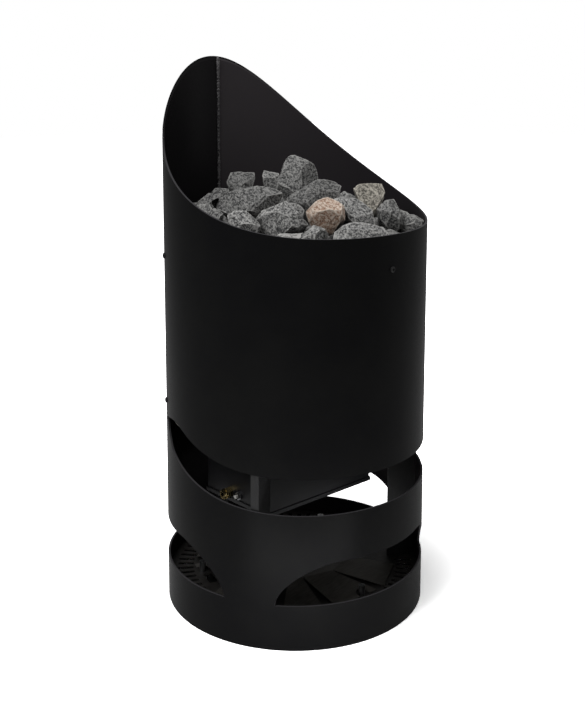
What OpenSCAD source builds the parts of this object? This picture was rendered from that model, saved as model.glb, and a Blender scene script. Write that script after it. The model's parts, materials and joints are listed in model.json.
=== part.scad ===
// Floor-standing electric sauna heater: a tall round steel casing with an obliquely
// cut rim, an inner stone chamber with three heating elements, a heap of stones on
// top, and an electrical box and a vented base plate under the chamber.
// The front, where the rim is low, faces -Y. The weld seam is at the back, +Y.
// The origin is the centre of the casing where it stands on the floor.

/* [Casing] */
// Outer diameter of the rolled casing
casing_d = 400; // [380:5:430]
// Thickness of the casing sheet
sheet = 3; // [2:0.5:3.5]
// Height of the rim at the front
front_h = 591; // [585:1:600]
// Height of the rim at the back
back_h = 837; // [800:1:870]
// Height of the closed ring that stands on the floor
ring_h = 67; // [64:1:72]
// Height of the lower edge of the band between the air slots
band_z = 130; // [120:1:138]
// Height of the upper edge of that band at the front
slot_z = 200; // [190:1:208]
// Height of the upper air slot at the front
slot_h = 53; // [40:1:60]
// Thickness of the weld bead inside the seam
bead_d = 4.4; // [3:0.2:5]

/* [Stone chamber] */
// Air gap between the casing and the stone chamber
air_gap = 11; // [9:0.5:14]
// Thickness of the chamber sheet
liner_t = 2; // [1.5:0.5:2.5]
// Height of the top face of the grate that carries the stones
grate_z = 293; // [290:1:298]
// Thickness of the grate
grate_t = 3; // [2:0.5:4]
// Height of the chamber wall's top edge
liner_top = 552; // [550:1:556]
// Height of the three upper casing screws
upper_screw_z = 542; // [536:1:544]
// Height of the two lower casing screws
lower_screw_z = 319; // [312:1:326]

/* [Heating elements] */
// Diameter of the element tube
rod_d = 8.2; // [7.6:0.2:8.6]
// Distance between the upright legs of one element
leg_pitch = 64; // [60:1:66]
// Distance between neighbouring elements
element_pitch = 63; // [60:1:66]
// Height of the top of the elements
element_top = 540; // [500:5:545]

/* [Electrical box] */
// Length of the box across the heater
box_w = 216; // [212:2:226]
// Depth of the box
box_d = 142; // [140:2:150]
// Height of the box's lower edge
box_z = 164; // [160:1:170]
// Height of the box
box_h = 80; // [74:1:84]
// Thickness of the box's sheet
box_t = 1.5; // [1:0.25:2]
// Distance of the box's centre behind the casing's axis
box_y = 13; // [10:1:16]

/* [Base] */
// Height of the base plate's underside
plate_z = 36; // [34:1:40]
// Thickness of the base plate
plate_t = 2; // [1.5:0.5:3]
// Width of a radial vent slot
vent_w = 7; // [5:0.5:8]
// Travel of a levelling foot
foot_travel = 12; // [8:1:14]

/* [Fasteners] */
// Shank diameter of the casing screws
casing_screw_d = 5; // [4:0.5:6]
// Shank diameter of the frame screws and hangers
frame_screw_d = 6; // [5:0.5:6]
// Thread diameter of the levelling feet
foot_d = 10; // [8:1:12]

/* [Stones] */
// Nominal size of a stone
stone_d = 70; // [66:1:72]

/* [Hidden] */

$fn = 96;
casing_r = casing_d / 2;
inner_r = casing_r - sheet;
liner_r = inner_r - air_gap;
grate_r = liner_r + air_gap / 2;
// Small clearances: between parts that are bolted together, in threads, in holes
seat = 0.05;
thread_fit = 0.05;
hole_fit = 0.3;
stone_gap = 0.3;
skin_gap = 0.4;
min_wall = 2;
// One overrun serves all cuts
over = 5;

// Angles are measured from the front, positive towards +X
neck_turns = [-62, 62, 180];
upper_screw_turns = [0, -120, 120];
lower_screw_turns = [-120, 120];
foot_turns = [0, -120, 120];
seam_turn = 177.6;

// Rotates a child from the front, -Y, to an angle around the casing.
// The child is drawn with +X pointing outwards.
module at_turn(turn) {
    rotate([0, 0, turn - 90]) children();
}

module ring(outer, inner, low, high) {
    translate([0, 0, low])
        difference() {
            cylinder(r = outer, h = high - low);
            translate([0, 0, -over]) cylinder(r = inner, h = high - low + 2 * over);
        }
}

module rod(r, low, high) {
    translate([0, 0, low]) cylinder(r = r, h = high - low);
}

module hex(flats, low, high) {
    translate([0, 0, low]) cylinder(r = flats / sqrt(3), h = high - low, $fn = 6);
}

module hex_nut(flats, bore_r, low, high) {
    difference() {
        hex(flats, low, high);
        rod(bore_r, low - over, high + over);
    }
}

// Screw that points along -Z, with its head's bearing face at z = 0
module button_screw(shank_r, length) {
    head_r = shank_r * 1.7;
    head_h = shank_r * 1.1;
    socket_r = shank_r * 0.8;
    difference() {
        union() {
            rod(head_r, 0, head_h * 0.55);
            translate([0, 0, head_h * 0.55]) cylinder(r1 = head_r, r2 = head_r * 0.7, h = head_h * 0.45);
            rod(shank_r, -length, 0);
        }
        hex(socket_r * sqrt(3), head_h * 0.4, head_h + over);
    }
}

// Outer casing

// Rise of the rim from front to back, from the share of the way along the depth
function rim_share(s) = pow(s, 2) * (0.7 + 0.3 * pow(s, 4.5));
function rim_z(y) = front_h + (back_h - front_h) * rim_share(max(1 + y / casing_r, 0) / 2);

rim_steps = 72;
module above_rim() {
    line = [for (i = [0:rim_steps]) let (y = (casing_r + over) * (2 * i / rim_steps - 1)) [y, rim_z(y)]];
    high = rim_z(casing_r + over) + over;
    rotate([90, 0, 90])
        linear_extrude(height = casing_d + 4 * over, center = true)
            polygon(concat(line, [[casing_r + over, high], [-casing_r - over, high]]));
}

// The upper air slot in the side view: both edges rise towards the back with a power
// law, and close in a curved tip. Shares of the casing's radius, y and height.
slot_rise_share = 0.128;
slot_top_rise_share = 0.146;
slot_power = 2.6;
slot_steps = 26;
slot_body_share = 0.139;
slot_low_end_share = 0.326;
slot_tip_shares = [[0.21, 0.497], [0.28, 0.508], [0.34, 0.504], [0.40, 0.494], [0.455, 0.486],
    [0.445, 0.445], [0.425, 0.395], [0.395, 0.345], [0.362, 0.303]];
function low_edge(y) = slot_z + casing_r * slot_rise_share * pow(max(1 + y, 0), slot_power);
function top_edge(y) = slot_z + slot_h
    + casing_r * slot_top_rise_share * pow(max(1 + y, 0), slot_power + 0.06);
module upper_slot() {
    start = -1 - over / casing_r;
    top = [for (i = [0:slot_steps]) let (y = start + (slot_body_share - start) * i / slot_steps)
        [casing_r * y, top_edge(y)]];
    tip = [for (p = slot_tip_shares) [casing_r * p[0], slot_z + casing_r * p[1]]];
    low = [for (i = [slot_steps:-1:0]) let (y = start + (slot_low_end_share - start) * i / slot_steps)
        [casing_r * y, low_edge(y)]];
    rotate([90, 0, 90])
        linear_extrude(height = casing_d + 4 * over, center = true)
            polygon(concat(top, tip, low));
}

// A neck joins the ring to the band: narrow at the ring, flared at the band along a
// quarter of a superellipse
neck_foot_share = 0.191;
neck_flare_share = 0.43;
neck_power = 1.6;
neck_steps = 20;
function neck_half(s) = casing_r * (neck_foot_share + neck_flare_share
    * (1 - pow(1 - pow(s, neck_power), 1 / neck_power)));
module neck_shape() {
    foot = neck_half(0);
    side = [for (i = [1:neck_steps]) let (a = 90 * i / neck_steps, s = sin(a))
        [neck_half(s), ring_h + (band_z - ring_h) * s]];
    last = len(side) - 1;
    other = [for (i = [last:-1:0]) [-side[i][0], side[i][1]]];
    polygon(concat([[-foot, ring_h - over], [foot, ring_h - over]], side,
        [[side[last][0], band_z + over], [-side[last][0], band_z + over]], other));
}

module lower_slots() {
    difference() {
        ring(casing_r + over, inner_r - over, ring_h, band_z);
        for (turn = neck_turns)
            at_turn(turn)
                rotate([90, 0, 90])
                    linear_extrude(height = casing_r + 2 * over) neck_shape();
    }
}

casing_hole_r = casing_screw_d / 2 + hole_fit;
module casing_holes(turns, z) {
    for (turn = turns)
        at_turn(turn)
            translate([inner_r - over, 0, z])
                rotate([0, 90, 0]) cylinder(r = casing_hole_r, h = sheet + 2 * over);
}

module outer_casing() {
    color("#1d1d1f")
    difference() {
        union() {
            ring(casing_r, inner_r, 0, back_h + over);
            // The weld bead on the inside of the seam
            intersection() {
                at_turn(seam_turn)
                    translate([inner_r, 0, grate_z])
                        cylinder(r = bead_d / 2, h = back_h + over - grate_z, $fn = 24);
                rod(inner_r + sheet / 2, grate_z, back_h + over);
            }
        }
        above_rim();
        upper_slot();
        lower_slots();
        casing_holes(upper_screw_turns, upper_screw_z);
        casing_holes(lower_screw_turns, lower_screw_z);
    }
}

// Screws and threaded spacers that hold the stone chamber inside the casing

module casing_screws(turns, z) {
    for (turn = turns)
        at_turn(turn)
            translate([casing_r + seat, 0, z])
                rotate([0, 90, 0])
                    button_screw(casing_screw_d / 2, sheet + air_gap * 0.8);
}

module upper_casing_screws() {
    color("#2a2a2c") casing_screws(upper_screw_turns, upper_screw_z);
}

module lower_casing_screws() {
    color("#2a2a2c") casing_screws(lower_screw_turns, lower_screw_z);
}

spacer_r = casing_screw_d * 1.1;
module spacer_nut(turn, z) {
    low = liner_r + seat;
    high = sqrt(pow(inner_r, 2) - pow(spacer_r, 2)) - seat;
    at_turn(turn)
        translate([0, 0, z])
            rotate([0, 90, 0])
                ring(spacer_r, casing_screw_d / 2 + thread_fit, low, high);
}

module spacer_nuts() {
    color("silver") {
        for (turn = upper_screw_turns) spacer_nut(turn, upper_screw_z);
        for (turn = lower_screw_turns) spacer_nut(turn, lower_screw_z);
    }
}

// Base: clips on the casing, vented plate, folded deflector, levelling feet

plate_top = plate_z + plate_t;
plate_r = inner_r - skin_gap;
clip_t = 2.5;
clip_w = 22;
clip_reach = 32;
clip_drop = 18;
joint_in = 25;
joint_r = inner_r - joint_in;
frame_bore_r = frame_screw_d / 2 + thread_fit;
frame_hole_r = frame_screw_d / 2 + hole_fit;

// Distance of a flat plate of a given width that just fits inside the casing
function flat_r(w) = sqrt(pow(inner_r, 2) - pow(w / 2, 2)) - skin_gap / 2;

module base_clip() {
    out = flat_r(clip_w);
    difference() {
        union() {
            translate([out - clip_reach, -clip_w / 2, plate_z - seat - clip_t])
                cube([clip_reach, clip_w, clip_t]);
            translate([out - clip_t, -clip_w / 2, plate_z - seat - clip_drop])
                cube([clip_t, clip_w, clip_drop]);
        }
        translate([joint_r, 0, 0]) rod(frame_bore_r, plate_z - clip_t - over, plate_z + over);
    }
}

module base_clips() {
    color("#2b2b2d")
        for (turn = neck_turns) at_turn(turn) base_clip();
}

vent_pitch = 5;
vent_edge = 10.5;
vent_len = 26;
vent_out_r = plate_r - vent_edge;
vent_in_r = vent_out_r - vent_len;
vent_skip = 9;
foot_inset = 12;
foot_ring_r = vent_in_r - foot_inset;
foot_bore_r = foot_d / 2 + thread_fit;
entry_w = 14;
entry_d = 29;
entry_r = 141.5;
entry_turn = -109;
function turn_gap(a, b) = abs((a - b + 540) % 360 - 180);
function clear_of_legs(a) = min([for (n = neck_turns) turn_gap(a, n)]) > vent_skip;

module vent_cut() {
    translate([0, 0, plate_z - over]) {
        translate([vent_in_r + vent_w / 2, -vent_w / 2, 0])
            cube([vent_out_r - vent_in_r - vent_w, vent_w, plate_t + 2 * over]);
        for (r = [vent_in_r + vent_w / 2, vent_out_r - vent_w / 2])
            translate([r, 0, 0]) cylinder(d = vent_w, h = plate_t + 2 * over, $fn = 24);
    }
}

module base_plate() {
    color("#3a3a3c")
    difference() {
        rod(plate_r, plate_z, plate_top);
        for (a = [0:vent_pitch:360 - vent_pitch])
            if (clear_of_legs(a)) at_turn(a) vent_cut();
        for (turn = neck_turns)
            at_turn(turn) translate([joint_r, 0, 0]) rod(frame_hole_r, plate_z - over, plate_top + over);
        for (turn = foot_turns)
            at_turn(turn)
                translate([foot_ring_r, 0, 0]) rod(foot_d / 2 + hole_fit, plate_z - over, plate_top + over);
        at_turn(entry_turn)
            translate([entry_r - entry_w / 2, -entry_d / 2, plate_z - over])
                cube([entry_w, entry_d, plate_t + 2 * over]);
    }
}

// The deflector is a flat ten-sided hub with ten skewed flaps that slope down towards
// the base plate and leave a narrow wedge between neighbours. It is cut away around
// the feet, the legs and the cable opening.
flap_count = 10;
deflector_turn = -16.3;
deflector_t = 1;
hub_r = 84;
hub_lift = 13;
hub_z = plate_top + hub_lift;
flap_edge = 38;
flap_r = plate_r - flap_edge;
flap_from = -3.5;
flap_to = 25.1;
foot_room = 9;
leg_notch = 52;
entry_room = 6;
// Half of the angle that is cut out around each leg and around the cable opening. The
// right leg's is wider, because it takes in the whole end of the flap in front of it.
leg_open_turns = [13, 20, 13];
entry_open_turn = 10.5;
module flap() {
    half = 180 / flap_count;
    in_d = hub_r * cos(half);
    near_d = flap_r * cos(flap_from) - in_d;
    far_d = flap_r * cos(flap_to) - in_d;
    slope = atan((hub_lift - 2 * seat) / near_d);
    fold = hub_r * sin(half) - deflector_t;
    translate([in_d, 0, hub_z])
        rotate([0, slope, 0])
            linear_extrude(height = deflector_t)
                polygon([[-deflector_t, -fold], [near_d / cos(slope), flap_r * sin(flap_from)],
                    [far_d / cos(slope), flap_r * sin(flap_to)], [-deflector_t, fold]]);
}

// A notch that opens outwards, from a distance in to past the flaps' ends
module notch(turn, from, open_turn) {
    slant = tan(open_turn);
    at_turn(turn)
        translate([0, 0, plate_z])
            linear_extrude(height = hub_z)
                polygon([[from, -from * slant], [plate_r, -plate_r * slant], [plate_r, plate_r * slant],
                    [from, from * slant]]);
}

module heat_deflector() {
    leg_in = flat_r(tab_w) - leg_depth;
    color("#6e6e70")
    difference() {
        at_turn(deflector_turn) {
            rotate([0, 0, 180 / flap_count])
                translate([0, 0, hub_z]) cylinder(r = hub_r, h = deflector_t, $fn = flap_count);
            for (i = [0:flap_count - 1]) rotate([0, 0, 360 * i / flap_count]) flap();
        }
        for (turn = foot_turns)
            at_turn(turn)
                translate([foot_ring_r, 0, plate_z]) {
                    cylinder(r = foot_room, h = hub_z);
                    translate([0, -foot_room, 0]) cube([plate_r - foot_ring_r, 2 * foot_room, hub_z]);
                }
        for (i = [0:2]) notch(neck_turns[i], leg_in - leg_notch, leg_open_turns[i]);
        notch(entry_turn, entry_r - entry_w / 2 - entry_room, entry_open_turn);
    }
}

// Upright legs behind the necks carry the grate on the base plate
leg_t = 2.5;
leg_w = 12;
leg_depth = 46;
tab_w = 30;
tab_len = 35;
leg_low = plate_top + seat;
leg_high = grate_z - grate_t - seat;

module leg() {
    out = flat_r(tab_w);
    difference() {
        union() {
            translate([out - leg_t, tab_w / 2 - leg_w, leg_low]) cube([leg_t, leg_w, leg_high - leg_low]);
            translate([out - leg_depth, tab_w / 2 - leg_t, leg_low])
                cube([leg_depth, leg_t, leg_high - leg_low]);
            for (z = [leg_low, leg_high - leg_t])
                translate([out - tab_len, -tab_w / 2, z]) cube([tab_len, tab_w, leg_t]);
        }
        translate([joint_r, 0, 0]) rod(frame_hole_r, leg_low - over, leg_high + over);
    }
}

module leg_left() {
    color("#2b2b2d") at_turn(neck_turns[0]) leg();
}

module leg_right() {
    color("#2b2b2d") at_turn(neck_turns[1]) mirror([0, 1, 0]) leg();
}

module leg_back() {
    color("#2b2b2d") at_turn(180) leg();
}

module leg_foot_screws() {
    color("silver")
        for (turn = neck_turns)
            at_turn(turn)
                translate([joint_r, 0, leg_low + leg_t + seat])
                    button_screw(frame_screw_d / 2, leg_t + plate_t + clip_t);
}

module leg_top_screws() {
    color("silver")
        for (turn = neck_turns)
            at_turn(turn)
                translate([joint_r, 0, leg_high - leg_t - seat])
                    rotate([180, 0, 0]) button_screw(frame_screw_d / 2, leg_t + grate_t);
}

// Levelling feet: a threaded spindle turns in a nut under the plate and in its pad
foot_nut_h = 8;
foot_lift = 1;
pad_r = 16;
pad_hub_r = 9;
pad_h = 4;
pad_hub_h = 11;
spindle_spare = 4;
spindle_over = foot_travel + spindle_spare;
spindle_slot_w = 1.6;
spindle_slot_h = 2;

module at_foot(turn) {
    at_turn(turn) translate([foot_ring_r, 0, 0]) children();
}

module foot_nuts() {
    color("silver")
        for (turn = foot_turns)
            at_foot(turn)
                hex_nut(foot_d * 1.7, foot_bore_r, plate_z - seat - foot_nut_h, plate_z - seat);
}

module foot_pad(turn) {
    color("#222222")
    at_foot(turn)
        difference() {
            union() {
                rod(pad_r, foot_lift, foot_lift + pad_h);
                rod(pad_hub_r, foot_lift, foot_lift + pad_hub_h);
            }
            rod(foot_bore_r, foot_lift + pad_h / 2, foot_lift + pad_hub_h + over);
        }
}

module foot_spindle(turn) {
    color("silver")
    at_foot(turn)
        difference() {
            rod(foot_d / 2, foot_lift + pad_h / 2 + seat, plate_top + spindle_over);
            // Screwdriver slot in the upper end
            translate([-foot_d, -spindle_slot_w / 2, plate_top + spindle_over - spindle_slot_h])
                cube([2 * foot_d, spindle_slot_w, over]);
        }
}

module foot_pad_front() foot_pad(foot_turns[0]);
module foot_pad_left() foot_pad(foot_turns[1]);
module foot_pad_right() foot_pad(foot_turns[2]);
module foot_spindle_front() foot_spindle(foot_turns[0]);
module foot_spindle_left() foot_spindle(foot_turns[1]);
module foot_spindle_right() foot_spindle(foot_turns[2]);

// Grate, chamber wall and heating elements

bush_wall = 0.9;
bush_r = rod_d / 2 + bush_wall;
element_ys = [for (i = [-1:1]) box_y + i * element_pitch];
leg_xs = [-1.5 * leg_pitch, -0.5 * leg_pitch, 0.5 * leg_pitch, 1.5 * leg_pitch];
hanger_x = leg_pitch;
hanger_in = 8;
hanger_ys = [box_y - box_d / 2 + hanger_in, box_y + box_d / 2 - hanger_in];
grate_rows = 7;
grate_slot_w = 8;
grate_slot_share = 0.86;

module at_terminals() {
    for (y = element_ys)
        for (x = [leg_xs[0], leg_xs[3]])
            translate([x, y, 0]) children();
}

module at_hangers() {
    for (y = hanger_ys)
        for (x = [-hanger_x, hanger_x])
            translate([x, y, 0]) children();
}

module stone_grate() {
    color("#55565a")
    difference() {
        rod(grate_r, grate_z - grate_t, grate_z);
        for (k = [-grate_rows:grate_rows])
            if (k % 3 != 0) {
                y = box_y + k * element_pitch / 3;
                reach = pow(liner_r * grate_slot_share, 2) - pow(y, 2);
                if (reach > pow(grate_slot_w * 3, 2))
                    translate([-sqrt(reach), y - grate_slot_w / 2, grate_z - grate_t - over])
                        cube([2 * sqrt(reach), grate_slot_w, grate_t + 2 * over]);
            }
        at_terminals() rod(bush_r + hole_fit / 3, grate_z - grate_t - over, grate_z + over);
        at_hangers() rod(frame_bore_r, grate_z - grate_t - over, grate_z + over);
        for (turn = neck_turns)
            at_turn(turn)
                translate([joint_r, 0, 0]) rod(frame_bore_r, grate_z - grate_t - over, grate_z + over);
    }
}

module stone_chamber() {
    color("#4a4b4f") ring(liner_r, liner_r - liner_t, grate_z + seat, liner_top);
}

// One element: a tube bent up, down, up and down, with a threaded bush at each end
bend_r = leg_pitch / 2;
bush_top = 3;
bush_drop = 12;
cold_end = 18;
stud_len = 12;
stud_r = 2;
box_top = box_z + box_h;
rod_low = box_top - cold_end;
bend_lift = 4;
low_bend_z = grate_z + bush_top + bend_r + rod_d / 2 + bend_lift;

module bend(up) {
    rotate([up ? 90 : -90, 0, 0])
        rotate_extrude(angle = 180) translate([bend_r, 0]) circle(d = rod_d, $fn = 32);
}

module element(y) {
    high = element_top - bend_r - rod_d / 2;
    collar_r = bush_r + bush_wall;
    color("#6b6660")
    translate([0, y, 0]) {
        for (x = [leg_xs[0], leg_xs[3]])
            translate([x, 0, 0]) {
                rod(rod_d / 2, rod_low, high);
                rod(bush_r, grate_z - grate_t - bush_drop, grate_z + seat);
                rod(collar_r, grate_z + seat, grate_z + bush_top);
                rod(stud_r, rod_low - stud_len, rod_low);
            }
        for (x = [leg_xs[1], leg_xs[2]])
            translate([x, 0, 0]) rod(rod_d / 2, low_bend_z, high);
        for (x = [-leg_pitch, leg_pitch])
            translate([x, 0, high]) bend(true);
        translate([0, 0, low_bend_z]) bend(false);
    }
}

module element_front() element(element_ys[0]);
module element_middle() element(element_ys[1]);
module element_rear() element(element_ys[2]);

element_nut_h = 6;
module element_nuts() {
    color("#b9a15a")
        at_terminals()
            hex_nut(bush_r * 3, bush_r + thread_fit, grate_z - grate_t - seat - element_nut_h,
                grate_z - grate_t - seat);
}

// Hangers that carry the heat shield and the electrical box under the grate

frame_nut_flats = frame_screw_d * 1.67;
frame_nut_h = frame_screw_d * 0.83;
shield_gap = 22;
shield_z = box_top + shield_gap;
shield_t = 1;
shield_lip = 9;
shield_over = 7;
thread_end = 2;

module hanger_studs() {
    color("silver")
        at_hangers() rod(frame_screw_d / 2, box_top - box_t - frame_nut_h - thread_end, grate_z - seat);
}

module hanger_nuts() {
    color("silver")
        at_hangers() {
            for (top = [box_top - box_t - seat, box_top + seat + frame_nut_h, shield_z - seat])
                hex_nut(frame_nut_flats, frame_bore_r, top - frame_nut_h, top);
        }
}

module heat_shield() {
    w = box_w + 2 * shield_over;
    d = box_d + 2 * shield_over;
    color("#b8b8ba")
    difference() {
        translate([-w / 2, box_y - d / 2, shield_z - shield_lip]) cube([w, d, shield_lip + shield_t]);
        translate([-w / 2 + shield_t, box_y - d / 2 + shield_t, shield_z - shield_lip - over])
            cube([w - 2 * shield_t, d - 2 * shield_t, shield_lip + over]);
        at_terminals() rod(rod_d / 2 + min_wall, shield_z - over, shield_z + shield_t + over);
        at_hangers() rod(frame_hole_r, shield_z - over, shield_z + shield_t + over);
    }
}

// Electrical box, open below and closed by its cover

bushing_wall = 3;
bushing_flange = 2.4;
bushing_h = 4;
bushing_drop = 2;
bushing_r = rod_d / 2 + bushing_wall;
tab = 15;
cover_screw_r = 2;
cover_screw_len = 7;
block_w = 100;
block_d = 26;
block_h = 28;
block_end = 8;
block_screw_r = 2;
block_screw_xs = [block_end - block_w / 2, block_w / 2 - block_end];
earth_in = 20;
earth_y = box_y - box_d / 2 + earth_in;
earth_r = 3;

module at_cover_screws() {
    for (sx = [-1, 1])
        for (sy = [-1, 1])
            translate([sx * (box_w / 2 - box_t - tab / 2), box_y + sy * (box_d / 2 - box_t - tab / 2), 0])
                children();
}

// Draws a child with +Z pointing out of the left wall, from the wall's outer face
module at_gland() {
    translate([wall_x, gland_y, gland_z]) rotate([0, -90, 0]) children();
}

module at_cutout() {
    translate([wall_x, cutout_y, cutout_z]) rotate([0, -90, 0]) children();
}

module box_body() {
    color("#3d3e41")
    difference() {
        union() {
            difference() {
                translate([-box_w / 2, box_y - box_d / 2, box_z]) cube([box_w, box_d, box_h]);
                translate([-box_w / 2 + box_t, box_y - box_d / 2 + box_t, box_z - over])
                    cube([box_w - 2 * box_t, box_d - 2 * box_t, box_h - box_t + over]);
            }
            at_cover_screws()
                translate([-tab / 2 - box_t / 2, -tab / 2 - box_t / 2, box_z])
                    cube([tab + box_t, tab + box_t, box_t]);
        }
        at_cover_screws() rod(cover_screw_r + thread_fit, box_z - over, box_z + box_t + over);
        at_terminals() rod(bushing_r + hole_fit / 3, box_top - box_t - over, box_top + over);
        at_hangers() rod(frame_hole_r, box_top - box_t - over, box_top + over);
        for (x = block_screw_xs)
            translate([x, box_y, 0])
                rod(block_screw_r + thread_fit, box_top - box_t - over, box_top + over);
        translate([0, earth_y, 0]) rod(earth_r + hole_fit, box_top - box_t - over, box_top + over);
        at_gland() rod(gland_r + hole_fit, -box_t - over, over);
        at_cutout() rod(neck_r + hole_fit, -box_t - over, over);
    }
}

// The cable gland and the reset button sit low in the left wall of the box
wall_x = -box_w / 2;
gland_back = 17;
gland_up = 11;
gland_y = box_y + gland_back;
gland_z = box_z + gland_up;
gland_r = 6;
cutout_front = 6;
cutout_up = 12.5;
cutout_y = box_y - cutout_front;
cutout_z = box_z + cutout_up;
neck_r = 4.2;
cover_lip = 4;
cover_top = box_z - seat;
cover_low = cover_top - box_t;

module box_cover() {
    w = box_w + 2 * (box_t + hole_fit);
    d = box_d + 2 * (box_t + hole_fit);
    color("#3d3e41")
    difference() {
        translate([-w / 2, box_y - d / 2, cover_low]) cube([w, d, box_t + cover_lip]);
        translate([-w / 2 + box_t, box_y - d / 2 + box_t, cover_top])
            cube([w - 2 * box_t, d - 2 * box_t, cover_lip + over]);
        at_cover_screws() rod(cover_screw_r + hole_fit, cover_low - over, cover_top + over);
        at_gland() rod(gland_flats / sqrt(3) + hole_fit, 0, box_t + hole_fit + over);
    }
}

module cover_screws() {
    color("silver")
        at_cover_screws()
            translate([0, 0, cover_low - seat])
                rotate([180, 0, 0]) button_screw(cover_screw_r, cover_screw_len);
}

module element_bushings() {
    color("ivory")
        at_terminals() {
            ring(bushing_r, rod_d / 2 + seat, box_top - box_t - bushing_drop, box_top + seat);
            ring(bushing_r + bushing_flange, rod_d / 2 + seat, box_top + seat, box_top + bushing_h);
        }
}

terminal_nut_h = 3;
lead_t = 1;
lead_r = 1.4;
lead_z = rod_low - seat - lead_t / 2;
block_low = box_top - box_t - seat - block_h;

module terminal_nuts() {
    color("silver")
        at_terminals()
            hex_nut(stud_r * 3.5, stud_r + thread_fit, lead_z - lead_t / 2 - seat - terminal_nut_h,
                lead_z - lead_t / 2 - seat);
}

// One lead per element end, from its eyelet to the terminal block
module lead(i, side) {
    from = [side * 1.5 * leg_pitch, element_ys[i]];
    to = [side * (block_w / 2 + seat), box_y + (i - 1) * block_d * 0.3];
    run = to - from;
    turn = atan2(run[1], run[0]);
    eye_r = stud_r * 2.6;
    difference() {
        union() {
            translate([from[0], from[1], 0]) rod(eye_r, lead_z - lead_t / 2, lead_z + lead_t / 2);
            intersection() {
                translate([from[0], from[1], lead_z - lead_r + lead_t / 2])
                    rotate([0, 0, turn]) translate([eye_r * 0.85, 0, 0])
                        rotate([0, 90, 0]) cylinder(r = lead_r, h = norm(run), $fn = 24);
                difference() {
                    translate([-box_w / 2 + over, box_y - box_d / 2 + over, box_z])
                        cube([box_w - 2 * over, box_d - 2 * over, box_h]);
                    translate([-block_w / 2 - seat, box_y - block_d, box_z])
                        cube([block_w + 2 * seat, 2 * block_d, box_h]);
                }
            }
        }
        translate([from[0], from[1], 0])
            rod(stud_r + hole_fit / 3, lead_z - over, lead_z + over);
    }
}

module element_leads() {
    color("#c9c4b4")
        for (i = [0:2])
            for (side = [-1, 1])
                lead(i, side);
}

block_ways = 5;
module terminal_block() {
    way = block_w * 0.7 / block_ways;
    color("ivory")
    difference() {
        translate([-block_w / 2, box_y - block_d / 2, block_low]) cube([block_w, block_d, block_h]);
        for (i = [0:block_ways - 1])
            translate([(i - (block_ways - 1) / 2) * way - way * 0.35, box_y - block_d / 2 - over,
                block_low - over])
                cube([way * 0.7, block_d + 2 * over, block_h * 0.35 + over]);
        for (x = block_screw_xs)
            translate([x, box_y, 0]) {
                rod(block_screw_r + hole_fit, block_low - over, box_top);
                rod(block_screw_r * 2, block_low - over, block_low + block_h * 0.4);
            }
    }
}

module terminal_block_screws() {
    color("silver")
        for (x = block_screw_xs)
            translate([x, box_y, block_low + block_h * 0.4 - seat])
                rotate([180, 0, 0]) button_screw(block_screw_r, block_h * 0.6 + box_t + 2 * seat);
}

earth_len = 18;
earth_nut_h = 4;
earth_flats = 10;
module earth_stud() {
    color("#b9a15a")
    translate([0, earth_y, 0]) {
        rod(earth_r, box_top - box_t - earth_len, box_top + seat);
        hex(earth_flats, box_top + seat, box_top + seat + earth_nut_h);
    }
}

module earth_nuts() {
    color("#b9a15a")
        translate([0, earth_y, 0])
            for (top = [box_top - box_t - seat, box_top - box_t - 3 * seat - earth_nut_h])
                hex_nut(earth_flats, earth_r + thread_fit, top - earth_nut_h, top);
}

// Cable gland for the supply cable
gland_flats = 15;
gland_hex_h = 5;
gland_tail = 8;
gland_neck = 6;
gland_neck_r = 5.4;
dome_h = 10;
dome_r = 7;
seal_r = 4.3;
gland_bore_r = 3.2;
locknut_h = 3;

module cable_gland() {
    color("#c9a94f")
    at_gland()
        difference() {
            union() {
                hex(gland_flats, seat, gland_hex_h);
                rod(gland_r, -box_t - gland_tail, seat);
                rod(gland_neck_r, gland_hex_h, gland_hex_h + gland_neck);
            }
            rod(gland_bore_r, -box_t - gland_tail - over, gland_hex_h + gland_neck + over);
            rod(seal_r + seat, gland_hex_h, gland_hex_h + gland_neck + over);
        }
}

module gland_locknut() {
    color("#c9a94f")
        at_gland()
            hex_nut(gland_flats + min_wall, gland_r + thread_fit, -box_t - seat - locknut_h, -box_t - seat);
}

module gland_dome_nut() {
    low = gland_hex_h + seat;
    color("#c9a94f")
    at_gland()
        difference() {
            union() {
                hex(gland_flats, low, low + gland_neck);
                translate([0, 0, low + gland_neck])
                    cylinder(r1 = dome_r, r2 = seal_r + min_wall, h = dome_h - gland_neck);
            }
            rod(gland_neck_r + thread_fit, low - over, low + gland_neck + seat);
            rod(gland_bore_r, low, low + dome_h + over);
        }
}

module gland_seal() {
    color("#1a1a1a")
        at_gland()
            ring(seal_r, gland_bore_r, gland_hex_h + seat, gland_hex_h + gland_neck);
}

// Thermal cut-out inside the left wall, with its reset button outside
cutout_r = 9;
cutout_h = 24;
neck_out = 5;
cutout_nut_h = 3;
cutout_flats = 12;
button_r = 2.6;
button_fit = 0.08;
button_out = 4;
button_travel = 2;
button_in = 6;

module thermal_cutout() {
    color("#8a6a4a")
    at_cutout()
        difference() {
            union() {
                rod(cutout_r, -box_t - cutout_h, -box_t - seat);
                rod(neck_r, -box_t - seat, neck_out);
            }
            rod(button_r + button_fit, -box_t - button_in - button_travel - seat, neck_out + over);
        }
}

module cutout_nut() {
    color("silver")
        at_cutout() hex_nut(cutout_flats, neck_r + thread_fit, seat, seat + cutout_nut_h);
}

module reset_button() {
    color("white")
        at_cutout() rod(button_r, -box_t - button_in, neck_out + button_out);
}

// Stones. Each stone is a convex rock made of its own cell: points are set along
// directions from its centre, no farther than halfway to any other stone and never past
// the walls, so that neighbours rest against each other and none overlaps another.

function noise(seed, n) = rands(-1, 1, n, seed);

module rock(points) {
    hull() polyhedron(points = points, faces = [for (i = [0:3:len(points) - 3]) [i, i + 1, i + 2]]);
}

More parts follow.
